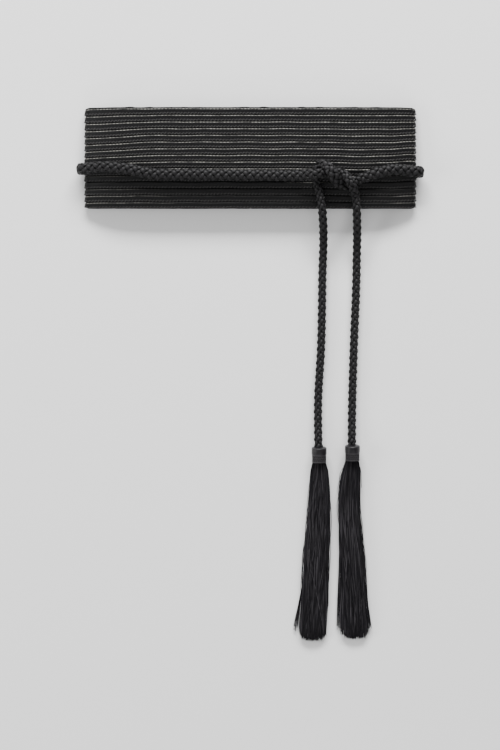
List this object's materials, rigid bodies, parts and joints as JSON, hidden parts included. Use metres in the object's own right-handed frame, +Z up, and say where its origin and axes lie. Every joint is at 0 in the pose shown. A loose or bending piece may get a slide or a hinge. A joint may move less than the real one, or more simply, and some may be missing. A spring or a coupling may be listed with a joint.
{
  "type": "waist sash with tied rope and tassels",
  "caption": "Wide waist sash of corded grosgrain, a closed loop laid flat, with a braided rope tied round it in a half knot and a thread tassel on each rope end.",
  "frame": {"origin": "middle of the sash and the rope round it, on the surface that they lie on", "axes": "+X along the sash's width towards the knot, +Y up the sash's height away from the tassels, +Z up off the surface, out of the sash's front"},
  "size_m": [0.3622, 0.5562, 0.0411],
  "materials": {
    "corded_cloth": "black grosgrain with a smooth raised cord every 7 mm, a soft silky glint on the cords",
    "hook_tape": "plain black tape",
    "braided_rope": "glossy black rayon braid of eight soft bundles",
    "wound_thread": "black thread wound round the tassel's head",
    "tassel_thread": "fine black rayon threads with a faint sheen"
  },
  "bodies": {
    "root": {"sash": "corded_cloth", "back_fastening": "hook_tape", "rope_wrap": "braided_rope", "rope_knot_over": "braided_rope", "rope_knot_loop": "braided_rope", "rope_tail_left": "braided_rope", "rope_tail_right": "braided_rope", "tassel_collar_left": "wound_thread", "tassel_collar_right": "wound_thread", "tassel_binding_left": "wound_thread", "tassel_binding_right": "wound_thread", "tassel_skirt_left": "tassel_thread", "tassel_skirt_right": "tassel_thread"}
  },
  "joints": []
}
